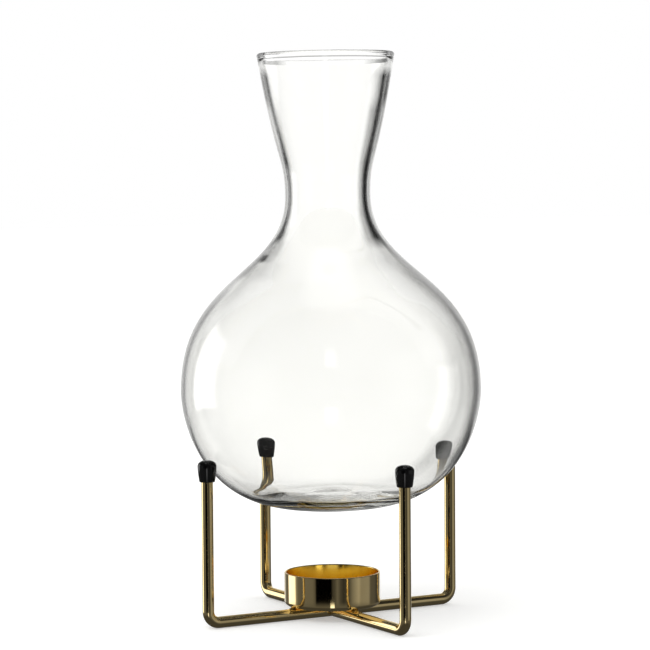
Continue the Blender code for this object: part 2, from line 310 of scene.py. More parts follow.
@dataclass(frozen=True)
class PolishedBrass:
    """Steel wire or sheet with a polished brass plate and clear lacquer.

    It mirrors the studio in pale gold. The plate shows drawing lines, small pits and slow changes of
    gloss, and turns amber where it mirrors itself.
    """

    name: str
    colour: str = "#EFDBA6"
    worn: str = "#E6CC92"
    roughness: float = 0.07
    line_mm: float = 0.25
    line_stretch: float = 0.04
    line_weight: float = 0.25
    pit_mm: float = 1.6
    pit_share: float = 0.16
    patch_mm: float = 9.0
    patch_range: Point = (0.3, 0.7)
    gloss_range: Point = (0.6, 1.5)
    relief_mm: float = 0.010

    def make(self) -> Material:
        """Build the node material, whose lines run along the piece's own "run" coordinate."""
        made, add, shader, _ = new_material(self.name)
        place = add("TexCoord", output="Object")
        run = add("Attribute", output="Vector", attribute_name="run")
        stretched = add("VectorMath", {0: run, 1: (self.line_stretch, 1.0, 1.0)}, operation="MULTIPLY")
        lines = add("TexNoise", {"Vector": stretched, "Scale": 1 / (self.line_mm * MM), "Detail": 2.0}, "Fac")
        pits = add("TexVoronoi", {"Vector": place, "Scale": 1 / (self.pit_mm * MM)}, "Distance")
        pit = set_stops(add("ValToRGB", {"Fac": pits}), [(0.0, 0.0), (self.pit_share, 1.0)])
        patch = add("TexNoise", {"Vector": place, "Scale": 1 / (self.patch_mm * MM), "Detail": 3.0}, "Fac")
        colour = add("MixRGB", {"Fac": patch, "Color1": linear(self.colour), "Color2": linear(self.worn)})
        start, end = self.patch_range
        low, high = [self.roughness * gloss for gloss in self.gloss_range]
        spread = add("MapRange", {"Value": patch, "From Min": start, "From Max": end, "To Min": low, "To Max": high})
        height = add("Math", {0: lines, 1: self.line_weight, 2: pit}, operation="MULTIPLY_ADD")
        bump = add("Bump", {"Distance": self.relief_mm * MM, "Height": height})
        feed(shader, {"Base Color": colour, "Roughness": spread, "Normal": bump, "Metallic": 1.0})
        return made


@dataclass(frozen=True)
class Brazing:
    """Brass filler that flowed and set, under the same plate.

    It is lumpy and less bright than the wire, from gold to a heat-tinted brown.
    """

    heat: str = "#6B3F1E"
    colour: str = "#D9AE55"
    bright: str = "#EAD093"
    places: Triple = (0.35, 0.55, 0.75)
    roughness: Point = (0.4, 0.16)
    lump_mm: float = 1.1
    relief_mm: float = 0.06

    def make(self) -> Material:
        """Build the node material."""
        made, add, shader, _ = new_material("brazed_joint_metal")
        place = add("TexCoord", output="Object")
        lumps = add("TexNoise", {"Vector": place, "Scale": 1 / (self.lump_mm * MM), "Detail": 4.0}, "Fac")
        colours = [linear(colour) for colour in (self.heat, self.colour, self.bright)]
        tone = set_stops(add("ValToRGB", {"Fac": lumps}), list(zip(self.places, colours)))
        low, high = self.roughness
        spread = add("MapRange", {"Value": lumps, "To Min": low, "To Max": high})
        bump = add("Bump", {"Distance": self.relief_mm * MM, "Height": lumps})
        feed(shader, {"Base Color": tone, "Roughness": spread, "Normal": bump, "Metallic": 1.0})
        return made


@dataclass(frozen=True)
class DippedVinyl:
    """Soft PVC cap, dip moulded: deep black and glossy, with a faint orange peel."""

    colour: str = "#030303"
    rub: str = "#09090A"
    roughness: Point = (0.05, 0.12)
    peel_mm: float = 0.9
    relief_mm: float = 0.01
    relief_strength: float = 0.5

    def make(self) -> Material:
        """Build the node material."""
        made, add, shader, _ = new_material("dip_moulded_black_vinyl")
        place = add("TexCoord", output="Object")
        peel = add("TexNoise", {"Vector": place, "Scale": 1 / (self.peel_mm * MM), "Detail": 3.0}, "Fac")
        colour = add("MixRGB", {"Fac": peel, "Color1": linear(self.colour), "Color2": linear(self.rub)})
        low, high = self.roughness
        spread = add("MapRange", {"Value": peel, "To Min": low, "To Max": high})
        bump = add("Bump", {"Strength": self.relief_strength, "Distance": self.relief_mm * MM, "Height": peel})
        feed(shader, {"Base Color": colour, "Roughness": spread, "Normal": bump})
        return made


def arc(centre: Point, radius: float, start: float, end: float, steps: int) -> list[Point]:
    """Points along a circle from one angle to another, ends included."""
    angles = [start + (end - start) * step / steps for step in range(steps + 1)]
    return [(centre[0] + radius * math.cos(a), centre[1] + radius * math.sin(a)) for a in angles]


def curve_point(handles: tuple[Point, ...], share: float) -> tuple[Vector, Vector]:
    """Point at a share of the way along a cubic curve, and the unit normal on its right."""
    rest = 1 - share
    weights = (rest ** 3, 3 * rest ** 2 * share, 3 * rest * share ** 2, share ** 3)
    slopes = (-rest ** 2, rest ** 2 - 2 * rest * share, 2 * rest * share - share ** 2, share ** 2)
    point = sum((w * Vector(h) for w, h in zip(weights, handles)), Vector((0, 0)))
    along = sum((s * Vector(h) for s, h in zip(slopes, handles)), Vector((0, 0))).normalized()
    return point, Vector((along.y, -along.x))


def lathe(outline: list[Point], sides: int) -> Mesh:
    """Turn an outline that starts and ends on the axis, with its material on the left.

    Args:
        outline: Radius and height of each ring.
        sides: Number of sides of each ring.

    Returns:
        A closed mesh with a "run" coordinate: along the turn, then along the outline.
    """
    mesh = bpy.data.meshes.new("turned")
    places, runs, rings, travelled = [], [], [], 0.0
    for place, (radius, height) in enumerate(outline):
        if place:
            travelled += math.dist(outline[place - 1], (radius, height))
        spokes = sides if radius > ON_AXIS else 1
        rings.append([len(places) + side for side in range(spokes)])
        for side in range(spokes):
            turn = 2 * math.pi * side / sides
            places.append((radius * math.cos(turn), radius * math.sin(turn), height))
            runs.append((turn * radius, travelled, 0.0))
    faces = []
    for low, high in zip(rings, rings[1:]):
        for side in range(sides):
            corners = [low[side % len(low)], low[(side + 1) % len(low)]]
            corners += [high[(side + 1) % len(high)], high[side % len(high)]]
            faces.append(tuple(dict.fromkeys(corners)))
    mesh.from_pydata(places, [], faces)
    store_run(mesh, runs)
    return mesh


def store_run(mesh: Mesh, runs: list[Triple]) -> None:
    """Keep each vertex's place along its piece, for the drawing lines of the metal."""
    layer = mesh.attributes.new("run", "FLOAT_VECTOR", "POINT")
    layer.data.foreach_set("vector", [value for run in runs for value in run])


def tube(path: list[Point], radius: float, sides: int, first_reach: Callable[[float], float] | None) -> Mesh:
    """Sweep a round bar along points in the XZ plane.

    Args:
        path: Points of the centre line, across and up.
        radius: Radius of the bar.
        sides: Number of sides of its section.
        first_reach: How far out a hollowed first ring lies, by the height over the centre line.

    Returns:
        A closed mesh with a "run" coordinate: along the bar, then round it.
    """
    points = [Vector(point) for point in path]
    places, runs, travelled = [], [], 0.0
    for place, point in enumerate(points):
        before, after = points[max(place - 1, 0)], points[min(place + 1, len(points) - 1)]
        travelled += (point - before).length
        inward, outward = (point - before).normalized(), (after - point).normalized()
        along = (inward + outward).normalized()
        across = Vector((-along.y, along.x)) / max(along.dot(inward), along.dot(outward))
        for side in range(sides):
            turn = 2 * math.pi * side / sides
            offset = across * radius * math.cos(turn)
            where = Vector((point.x + offset.x, radius * math.sin(turn), point.y + offset.y))
            if place == 0 and first_reach:
                where.x = first_reach(where.z - point.y)
            places.append(tuple(where))
            runs.append((travelled, turn * radius, 0.0))
    faces = []
    for ring in range(len(points) - 1):
        for side in range(sides):
            near, following = ring * sides + side, ring * sides + (side + 1) % sides
            faces.append((near, following, following + sides, near + sides))
    for ring, turned in ((0, -1), (len(points) - 1, 1)):
        start = ring * sides
        middle = sum((Vector(places[start + side]) for side in range(sides)), Vector()) / sides
        places.append(tuple(middle))
        runs.append(runs[start])
        for side in range(sides):
            faces.append((start + side, start + (side + 1) % sides, len(places) - 1)[::turned])
    mesh = bpy.data.meshes.new("swept")
    mesh.from_pydata(places, [], faces)
    work = bmesh.new()
    work.from_mesh(mesh)
    bmesh.ops.recalc_face_normals(work, faces=work.faces)
    work.to_mesh(mesh)
    work.free()
    store_run(mesh, runs)
    return mesh


def place_piece(name: str, mesh: Mesh, finishes: list[Material], body: str, nodes: tuple[str, ...],
                matrix: Matrix, sharp: float = 40.0) -> None:
    """Link a piece that stands for CAD nodes and rides on their body.

    Args:
        name: Name of the piece.
        mesh: Its mesh, in its own frame.
        finishes: Its materials, in the order of their slots.
        body: CAD body that it rides on.
        nodes: CAD nodes that it stands for.
        matrix: Its place in the row frame.
        sharp: Angle between faces, in degrees, from which an edge is sharp.
    """
    mesh.name = name
    for material in finishes:
        mesh.materials.append(material)
    mesh.transform(matrix)
    mesh.shade_smooth()
    mesh.set_sharp_from_angle(angle=math.radians(sharp))
    item = bpy.data.objects.new(name, mesh)
    SCENE.collection.objects.link(item)
    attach(item, body)
    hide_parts(*nodes)
    LOG.info("%s: %d faces, for %s", name, len(mesh.polygons), ", ".join(nodes))


@dataclass
class WireStand:
    """Two crossed wires with four upright legs: a long wire, and a half wire on each side of it."""

    rod_radius: float = 0.0025
    bend_radius: float = 0.005
    leg_height: float = 0.0700
    leg_radius: float = 0.0
    sides: int = 48
    bend_steps: int = 20
    run_steps: int = 24
    cope_start: float = 1.2
    cope_gap: float = 0.05 * MM

    def __post_init__(self) -> None:
        """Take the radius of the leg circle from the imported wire."""
        self.leg_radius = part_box("long_wire")[1].x - self.rod_radius

    def leg_path(self) -> list[Point]:
        """Centre line from the end of the floor run round the bend and up the leg."""
        centre = (self.leg_radius - self.bend_radius, self.rod_radius + self.bend_radius)
        bend = arc(centre, self.bend_radius, DOWN, 0.0, self.bend_steps)
        foot = bend[-1][1]
        rise = self.leg_height - foot
        return bend + [(self.leg_radius, foot + rise * s / self.run_steps) for s in range(1, self.run_steps + 1)]

    def floor_run(self, start: float) -> list[Point]:
        """Centre line on the table from a start out to the bend."""
        length = self.leg_radius - self.bend_radius - start
        return [(start + length * s / self.run_steps, self.rod_radius) for s in range(self.run_steps)]

    def cope_reach(self, height: float) -> float:
        """Distance from the crossing at which the half wire's hollowed end meets the long wire."""
        return math.sqrt(max((self.rod_radius + self.cope_gap) ** 2 - height ** 2, 0.0))

    def build(self, brass: Material) -> None:
        """Build the three wires.

        Args:
            brass: Finish of the wires.
        """
        half = self.floor_run(0.0)[1:] + self.leg_path()
        whole = [(-across, up) for across, up in half[::-1]] + [(0.0, self.rod_radius)] + half
        coped = self.floor_run(self.rod_radius * self.cope_start) + self.leg_path()
        wires = (("long_wire", whole, None, 0.0), ("front_half_wire", coped, self.cope_reach, DOWN),
                 ("rear_half_wire", coped, self.cope_reach, QUARTER_TURN))
        for node, path, reach, turn in wires:
            place_piece("drawn_" + node, tube(path, self.rod_radius, self.sides, reach), [brass], "stand",
                        (node,), Matrix.Rotation(turn, 4, "Z"))


@dataclass
class LegCap:
    """Dip moulded cap over a leg's end: a tapered blind sleeve with a flattened dome."""

    radius: float = 0.0041
    mouth_radius: float = 0.0034
    height: float = 0.0094
    dome_height: float = 0.0027
    taper_power: float = 1.5
    end_wall: float = 0.0026
    edge_radius: float = 0.0004
    bore: float = 0.00252
    squareness: float = 2.25
    sides: int = 72
    edge_steps: int = 8
    swell_steps: int = 16
    dome_steps: int = 28

    def outline(self) -> list[Point]:
        """Outline from the bore over the mouth's edge to the dome."""
        dome_base = self.height - self.dome_height
        bore_end = self.height - self.end_wall
        edge_centre = (self.mouth_radius - self.edge_radius, self.edge_radius)
        edge = arc(edge_centre, self.edge_radius, DOWN, 0.0, self.edge_steps)
        swell = []
        for step in range(1, self.swell_steps):
            share = step / self.swell_steps
            narrow = (self.radius - self.mouth_radius) * (1 - share) ** self.taper_power
            swell.append((self.radius - narrow, self.edge_radius + (dome_base - self.edge_radius) * share))
        dome = []
        for step in range(self.dome_steps):
            turn = QUARTER_TURN * step / self.dome_steps
            dome.append((self.radius * math.cos(turn) ** (2 / self.squareness),
                         dome_base + self.dome_height * math.sin(turn) ** (2 / self.squareness)))
        return [(0, bore_end), (self.bore, bore_end), (self.bore, 0)] + edge + swell + dome + [(0, self.height)]

    def build(self, leg: Leg, leg_radius: float, vinyl: Material) -> None:
        """Build one cap.

        Args:
            leg: The leg that it covers.
            leg_radius: Radius of the leg circle.
            vinyl: Finish of the cap.
        """
        name, node = "vinyl_cap_" + leg.label, "leg_cap_" + leg.label
        across, along = leg_radius * math.cos(leg.value), leg_radius * math.sin(leg.value)
        place = Matrix.Translation((across, along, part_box(node)[1].z - self.height))
        place_piece(name, lathe(self.outline(), self.sides), [vinyl], "stand", (node,), place)


@dataclass
class CandleCup:
    """Thin drawn cup for a tealight, with a rounded bottom corner and lip."""

    radius: float = 0.0211
    height: float = 0.0146
    wall: float = 0.0008
    corner_radius: float = 0.0020
    sides: int = 192
    corner_steps: int = 14
    lip_steps: int = 12
    flat_rings_mm: tuple[int, ...] = (3, 8, 13, 17)
    satin_inset: float = 0.7
    satin_rise: float = 0.6

    def outline(self) -> list[Point]:
        """Outline from the underside over the lip to the floor."""
        outer, inner = self.corner_radius, self.corner_radius - self.wall
        centre = (self.radius - self.corner_radius, self.corner_radius)
        lip_middle = (self.radius - self.wall / 2, self.height - self.wall / 2)
        under = [(radius * MM, 0.0) for radius in self.flat_rings_mm]
        outside = arc(centre, outer, DOWN, 0.0, self.corner_steps)
        lip = arc(lip_middle, self.wall / 2, 0.0, math.pi, self.lip_steps)
        inside = arc(centre, inner, 0.0, DOWN, self.corner_steps)
        floor = [(radius * MM, self.wall) for radius in self.flat_rings_mm[::-1]]
        return [(0, 0)] + under + outside + lip + inside + floor + [(0, self.wall)]

    def build(self, brass: Material, satin_painted_light: Material) -> None:
        """Build the cup on the crossing.

        Args:
            brass: Finish of its outside and lip.
            satin_painted_light: Finish of its inside, a rougher brass in a brighter gold that is painted light.
        """
        base = Matrix.Translation((0, 0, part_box("candle_cup")[0].z))
        mesh = lathe(self.outline(), self.sides)
        # faces inside the cup get the rougher inside brass, whose brighter gold is painted light
        inset, rise = self.satin_inset * self.wall, self.satin_rise * self.wall
        for face in mesh.polygons:
            out = math.hypot(face.center.x, face.center.y)
            face.material_index = int(out < self.radius - inset and face.center.z > rise)
        place_piece("drawn_candle_cup", mesh, [brass, satin_painted_light], "stand", ("candle_cup",), base)


@dataclass
class BrazedJoints:
    """Filler in the corners of the crossing and between the cup and each wire."""

    rod_radius: float = WireStand.rod_radius
    fillet_leg: float = 0.0024
    fillet_least: float = 0.1 * MM
    fillet_half_height: float = 0.0015
    bead_start: float = 0.01990
    bead_reach: float = 0.0027
    bead_rise: float = 0.0013
    bead_half_width: float = 0.0017
    bead_back: float = 0.6 * MM
    bead_hollow: float = 1.7
    bead_least: float = 0.05
    sunk: float = 0.0002
    lump_size: float = 0.9 * MM
    lump_height_mm: float = 0.06
    corner_seed: float = 7.0
    bead_seeds: Point = (31.0, 5.0)
    levels: int = 14
    face_steps: int = 12

    def loft(self, sections: list[list[Triple]], seed: float) -> Mesh:
        """Skin closed sections of equal length, with small lumps on the outside.

        Args:
            sections: Sections, one after the other.
            seed: Where the lumps are read in the noise.

        Returns:
            A closed mesh.
        """
        work = bmesh.new()
        rings = [[work.verts.new(point) for point in section] for section in sections]
        for low, high in zip(rings, rings[1:]):
            for place in range(len(low)):
                work.faces.new((low[place - 1], low[place], high[place], high[place - 1]))
        work.faces.new(rings[0][::-1])
        work.faces.new(rings[-1])
        bmesh.ops.recalc_face_normals(work, faces=work.faces)
        work.normal_update()
        for vertex in work.verts:
            lump = noise.noise(vertex.co / self.lump_size + Vector((seed, 0, 0)))
            vertex.co += vertex.normal * lump * self.lump_height_mm * MM
        mesh = bpy.data.meshes.new("lofted")
        work.to_mesh(mesh)
        work.free()
        return mesh

    def shares(self) -> list[Point]:
        """Each level's place from -1 to 1, with the half width of a unit circle there."""
        places = [-1 + 2 * level / self.levels for level in range(self.levels + 1)]
        return [(place, max(1 - place ** 2, 0.0) ** 0.5) for place in places]

    def fillet_sections(self) -> list[list[Triple]]:
        """Sections of one corner fillet, from its lowest level to its highest."""
        sections = []
        for share, full in self.shares():
            height = self.fillet_half_height * share
            side = math.sqrt(self.rod_radius ** 2 - height ** 2)
            leg = self.fillet_leg * full + self.fillet_least
            corner, end = side - self.sunk, side + leg
            face = arc((end, end), leg + self.sunk, DOWN, -math.pi, self.face_steps)
            sections.append([(corner, corner, height)] + [(x, y, height) for x, y in face])
        return sections

    def bead_sections(self, floor: float) -> list[list[Triple]]:
        """Sections of one bead under the cup's bottom corner, from one side of the wire to the other."""
        sections = []
        for share, round_share in self.shares():
            across = self.bead_half_width * share
            full = round_share * (1 - self.bead_least) + self.bead_least
            base = floor - self.rod_radius + math.sqrt(self.rod_radius ** 2 - across ** 2) - self.sunk
            reach, rise = self.bead_reach * full, (self.bead_rise + floor - base) * full
            slope = [(self.bead_start + reach * s / self.face_steps,
                      base + rise * (1 - s / self.face_steps) ** self.bead_hollow)
                     for s in range(self.face_steps + 1)]
            back = self.bead_start - self.bead_back
            sections.append([(x, across, z) for x, z in [(back, base), (back, base + rise)] + slope])
        return sections

    def build(self, metal: Material) -> None:
        """Build the four fillets and the four beads.

        Args:
            metal: Finish of the filler.
        """
        rise = Matrix.Translation((0, 0, self.rod_radius))
        for quarter in Quarter:
            name, node = "braze_corner_" + quarter.label, "crossing_fillet_" + quarter.label
            mesh = self.loft(self.fillet_sections(), self.corner_seed * quarter.value)
            turn = Matrix.Rotation(quarter.value * QUARTER_TURN, 4, "Z")
            place_piece(name, mesh, [metal], "stand", (node,), turn @ rise)
        floor = 2 * self.rod_radius
        first, pitch = self.bead_seeds
        for place, leg in enumerate(Leg):
            name, node = "braze_bead_" + leg.label, "cup_bead_" + leg.label
            mesh = self.loft(self.bead_sections(floor), first + pitch * place)
            place_piece(name, mesh, [metal], "stand", (node,), Matrix.Rotation(leg.value, 4, "Z"))


@dataclass
class Carafe:
    """Round-bellied carafe, blown in one piece, with a waisted neck, a flared mouth and a thick base."""

    base_radius: float = 0.0143
    punt_radius: float = 0.0075
    punt_depth: float = 0.0008
    bulb_radius: float = 0.0657
    bulb_height: float = 0.0513
    base_pull: float = 0.85
    bulb_pull_down: float = 0.234
    bulb_pull_up: float = 0.605
    waist_pull_down: float = 0.414
    waist_pull_up: float = 0.275
    flare_pull: float = 0.771
    flare_angle: float = math.radians(9.3)
    waist_radius: float = 0.0186
    waist_height: float = 0.1367
    height: float = 0.1985
    mouth_radius: float = 0.0299
    lip_radius: float = 0.00125
    wall: float = 0.0020
    base_thickness: float = 0.0062
    base_reach: float = 0.012
    base_power: float = 6.0
    ring_pitch: float = 0.0026
    ring_depth: float = 0.00014
    ring_reach: float = 0.0115
    lean: float = math.radians(0.57)
    lean_towards: float = math.radians(150.0)
    wave_size: Triple = (0.020, 0.020, 0.055)
    wave_seed: Triple = (3.1, 8.7, 1.4)
    wave_height: float = 0.00012
    ripple_size: float = 0.008
    ripple_reach: float = 0.010
    ripple_height: float = 0.00034
    calm_radius: float = 2 * MM
    sides: int = 256
    curve_steps: tuple[int, int, int] = (56, 64, 48)
    punt_steps: int = 12
    foot_steps: int = 8
    floor_steps: int = 48
    lip_start: float = math.radians(-15.0)
    lip_end: float = math.radians(205.0)
    lip_steps: int = 22
    calm_steps: int = 18
    sharp_angle: float = 60.0

    def lip_centre(self) -> Point:
        """Centre of the lip's round section."""
        return self.mouth_radius - self.lip_radius, self.height - self.lip_radius

    def handles(self) -> tuple[tuple[Point, ...], ...]:
        """Handles of the outer curves: base to widest point, over the shoulder to the waist, up to the lip."""
        foot, widest = (self.base_radius, 0.0), (self.bulb_radius, self.bulb_height)
        waist = (self.waist_radius, self.waist_height)
        end = arc(self.lip_centre(), self.lip_radius, self.lip_start, self.lip_start, 1)[0]
        width, rise, flare = widest[0] - foot[0], waist[1] - widest[1], end[1] - waist[1]
        back = self.flare_pull * flare
        return ((foot, (foot[0] + self.base_pull * width, 0.0),
                 (widest[0], widest[1] * (1 - self.bulb_pull_down)), widest),
                (widest, (widest[0], widest[1] + self.bulb_pull_up * rise),
                 (waist[0], waist[1] - self.waist_pull_down * rise), waist),
                (waist, (waist[0], waist[1] + self.waist_pull_up * flare),
                 (end[0] - back * math.tan(self.flare_angle), end[1] - back), end))

    def thickness(self, height: float) -> float:
        """Thickness of the glass beside a point of the outer skin at a height."""
        share = max(0.0, 1 - height / self.base_reach)
        return self.wall + (self.base_thickness - self.wall) * share ** self.base_power

    def ring(self, radius: float) -> float:
        """Rise of the faint rings that the mould's valve left on the floor inside, at a radius."""
        fade = max(0.0, 1 - radius / self.ring_reach)
        return self.ring_depth * fade * math.cos(2 * math.pi * radius / self.ring_pitch)

    def skins(self) -> tuple[list[Point], list[Point]]:
        """Outline of the outer skin from the base to the lip, and of the inner skin beside it."""
        outside, inside = [], []
        for handles, steps in zip(self.handles(), self.curve_steps):
            for step in range(0 if not outside else 1, steps + 1):
                point, out = curve_point(handles, step / steps)
                outside.append(tuple(point))
                inside.append(tuple(point - out * self.thickness(point.y)))
        return outside, inside

    def outline(self) -> tuple[list[Point], int]:
        """Whole outline from the punt round the lip to the floor inside, and the ring where the lip starts."""
        outside, inside = self.skins()
        punt = []
        for step in range(self.punt_steps + 1):
            radius = self.punt_radius * step / self.punt_steps
            punt.append((radius, self.punt_depth * (1 - (radius / self.punt_radius) ** 2)))
        width = self.base_radius - self.punt_radius
        foot = [(self.punt_radius + width * s / self.foot_steps, 0.0) for s in range(1, self.foot_steps)]
        lip = arc(self.lip_centre(), self.lip_radius, self.lip_start, self.lip_end, self.lip_steps)
        floor = []
        for step in range(self.floor_steps - 1, -1, -1):
            radius = self.base_radius * step / self.floor_steps
            floor.append((radius, self.base_thickness + self.ring(radius)))
        start = punt + foot + outside[:-1]
        return start + lip + inside[-2::-1] + floor, len(start)

    def first_vertex(self, ring: int) -> int:
        """Number of a ring's first vertex, where ring 0 is a single point."""
        return 1 + (ring - 1) * self.sides

    def uneven(self, mesh: Mesh, first: int) -> None:
        """Let the inner skin wander as blown glass does.

        Slow waves run up the wall, and shorter ripples bend the view through the thick base.

        Args:
            mesh: The turned carafe, whose origin is at the height of the bulb.
            first: Number of the first vertex that may move.
        """
        mesh.update()
        normals = [vertex.normal.copy() for vertex in mesh.vertices]
        for vertex in mesh.vertices[first:]:
            radius = math.hypot(vertex.co.x, vertex.co.y)
            if radius < self.calm_radius:
                continue
            stretched = Vector([value / size for value, size in zip(vertex.co, self.wave_size)])
            wave = noise.noise(stretched + Vector(self.wave_seed)) * self.wave_height
            low = max(0.0, 1 - (vertex.co.z + self.bulb_height) / self.ripple_reach)
            flat = Vector((vertex.co.x, vertex.co.y, 0)) / self.ripple_size
            ripple = noise.noise(flat) * self.ripple_height * low
            vertex.co += normals[vertex.index] * (wave + ripple)

    def build(self, finishes: list[Material]) -> None:
        """Build the carafe at its lean.

        Args:
            finishes: Finish of each part of the surface, in the order of Skin.
        """
        outline, lip_ring = self.outline()
        mesh = lathe([(radius, height - self.bulb_height) for radius, height in outline], self.sides)
        self.uneven(mesh, self.first_vertex(lip_ring + self.calm_steps))
        lip_first, inner_first = self.first_vertex(lip_ring), self.first_vertex(lip_ring + self.lip_steps + 1)
        for face in mesh.polygons:
            start = min(face.vertices)
            skin = Skin.OUTER if start < lip_first else Skin.LIP if start < inner_first else Skin.INNER
            face.material_index = skin.value
        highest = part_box("carafe_glass")[1].z
        across = self.lean_towards + QUARTER_TURN
        turn = Matrix.Rotation(self.lean, 4, Vector((math.cos(across), math.sin(across), 0)))
        top = max((turn @ vertex.co).z for vertex in mesh.vertices)
        place = Matrix.Translation((0, 0, highest - top)) @ turn
        place_piece("blown_carafe", mesh, finishes, "carafe", ("carafe_glass",), place,
                    self.sharp_angle)


@dataclass
class Studio:
    """White sweep, soft light and the dark and bright sides that polished metal mirrors.

    Directions are degrees to the right of the direction to the camera, and rises and drops are the
    upward part of a direction. Each level is what a perfect mirror would show, where 1 is white.
    """

    diffuse_level: float = 0.80
    glass_level: float = 1.16
    glass_sides: Stops = ((0.0, 1.0), (0.3, 1.0), (0.6, 0.2), (0.9, 0.5))
    brightest: float = 2.0
    level_sides: Stops = (
        (-160, 0.9), (-151, 0.2), (-137, 0.14), (-131, 0.14), (-128.5, 2.0), (-103, 2.0), (-98, 0.35), (-92, 0.15),
        (-80, 0.11), (-70, 0.16), (-48, 0.15), (-42, 0.10), (-39, 0.0), (-3, 0.0), (1, 0.05), (6, 0.07), (12, 0.14),
        (19, 0.07), (27, 0.035), (41, 0.08), (50, 0.21), (66, 0.38), (73, 0.27), (97, 0.28), (105, 0.10),
        (120, 0.09), (140, 0.03), (150, 0.2), (159, 0.9))
    upper_sides: Stops = (
        (-180, 0.3), (-165, 0.12), (-150, 0.06), (-129, 0.09), (-100, 0.05), (0, 0.04), (75, 0.03), (100, 0.02),
        (135, 0.10), (165, 0.3))
    upper_rise: Point = (0.36, 0.46)
    ceiling: float = 1.2
    ceiling_rise: Point = (0.95, 0.98)
    strip_sides: Stops = ((-5.5, 0.12), (-4, 2.0), (4, 2.0), (5.5, 0.12))
    strip_drop: Point = (-0.19, -0.22)
    below: float = 0.06
    below_drop: Point = (-0.34, -0.50)
    backdrop: float = 0.9
    backdrop_turn: Point = (134, 140)
    twice_mirrored: float = 0.85
    twice_rise: Point = (0.4, 0.5)
    mirrorings: float = 2.5
    floor_colour: str = "#F2F2F0"
    floor_reach: float = 6.0
    floor_level: float = -0.02 * MM
    floor_glow: Point = (0.38, 0.43)
    floor_near: Point = (0.60, 0.30)
    floor_behind: Point = (0.0, 0.05)
    lamp_size: float = 1.2
    lamp_power: float = 7.0
    lamp_place: Triple = (-0.9, -0.3, 1.5)
    lamp_axis: Triple = (-0.9, -0.3, 1.4)

    def ring(self, add: Adder, share: Socket, sides: Stops) -> Socket:
        """Ramp the levels of one ring of the studio over the direction."""
        stops = [((degrees + 180) / 360, level / self.brightest) for degrees, level in sides]
        return set_stops(add("ValToRGB", {"Fac": share}), stops)

    def mirrored(self, add: Adder) -> Socket:
        """Studio that metal and the front of the glass mirror, ring over ring.

        Mirrored light that crossed the glass meets a lighter backdrop and no ceiling.
        """
        way = add("TexCoord", output="Generated")
        right = (math.cos(CAMERA_AZIMUTH), math.sin(CAMERA_AZIMUTH), 0.0)
        back = (math.sin(CAMERA_AZIMUTH), -math.cos(CAMERA_AZIMUTH), 0.0)
        across, nearer = [add("VectorMath", {0: way, 1: axis}, "Value", operation="DOT_PRODUCT")
                          for axis in (right, back)]
        up = add("SeparateXYZ", {0: way}, "Z")
        angle = add("Math", {0: across, 1: nearer}, operation="ARCTAN2")
        share = add("MapRange", {"Value": angle, "From Min": -math.pi, "From Max": math.pi})
        crossed = add("LightPath", output="Is Transmission Ray")
        turned = add("Math", {0: angle}, operation="ABSOLUTE")
        start, end = [math.radians(degrees) for degrees in self.backdrop_turn]
        behind = add("MapRange", {"Value": turned, "From Min": start, "From Max": end})
        behind = add("Math", {0: behind, 1: crossed}, operation="MULTIPLY")
        level = add("MixRGB", {"Fac": behind, "Color1": self.ring(add, share, self.level_sides),
                               "Color2": grey(self.backdrop / self.brightest)})
        uncrossed = add("Math", {0: 1.0, 1: crossed}, operation="SUBTRACT")
        rings = ((self.upper_rise, 1.0, self.ring(add, share, self.upper_sides)),
                 (self.ceiling_rise, uncrossed, grey(self.ceiling / self.brightest)),
                 (self.strip_drop, 1.0, self.ring(add, share, self.strip_sides)),
                 (self.below_drop, 1.0, grey(self.below / self.brightest)))
        for (start, full), most, tone in rings:
            step = add("MapRange", {"Value": up, "From Min": start, "From Max": full, "To Max": most})
            level = add("MixRGB", {"Fac": step, "Color1": level, "Color2": tone})
        return add("VectorMath", {0: level, "Scale": self.brightest}, operation="SCALE")

    def make_world(self) -> None:
        """Light the studio: even for matt surfaces, white behind the glass, and with sides for metal.

        Outside the glass, light mirrored three times, or twice and then upwards, meets an even level.
        """
        world = bpy.data.worlds.new("white_studio")
        SCENE.world = world
        world.use_nodes = True
        add = partial(add_node, world.node_tree)
        up = add("SeparateXYZ", {0: add("TexCoord", output="Generated")}, "Z")
        through = set_stops(add("ValToRGB", {"Fac": up}), list(self.glass_sides))
        through = add("VectorMath", {0: through, "Scale": self.glass_level}, operation="SCALE")
        rays = add("LightPath").node.outputs
        mirrors = add("Math", {0: rays["Glossy Depth"], 1: 0.5}, operation="GREATER_THAN")
        start, end = self.twice_rise
        rising = add("MapRange", {"Value": up, "From Min": start, "From Max": end})
        twice = add("Math", {0: rays["Glossy Depth"], 1: rising}, operation="ADD")
        twice = add("Math", {0: twice, 1: self.mirrorings}, operation="GREATER_THAN")
        outside = add("Math", {0: 1.0, 1: rays["Is Transmission Ray"]}, operation="SUBTRACT")
        twice = add("Math", {0: twice, 1: outside}, operation="MULTIPLY")
        level: object = grey(self.diffuse_level)
        for share, tone in ((rays["Is Transmission Ray"], through), (mirrors, self.mirrored(add)),
                            (twice, grey(self.twice_mirrored)), (rays["Is Camera Ray"], grey(1.0))):
            level = add("MixRGB", {"Fac": share, "Color1": level, "Color2": tone})
        feed(world.node_tree.nodes["Background"], {"Color": level, "Strength": 1.0})

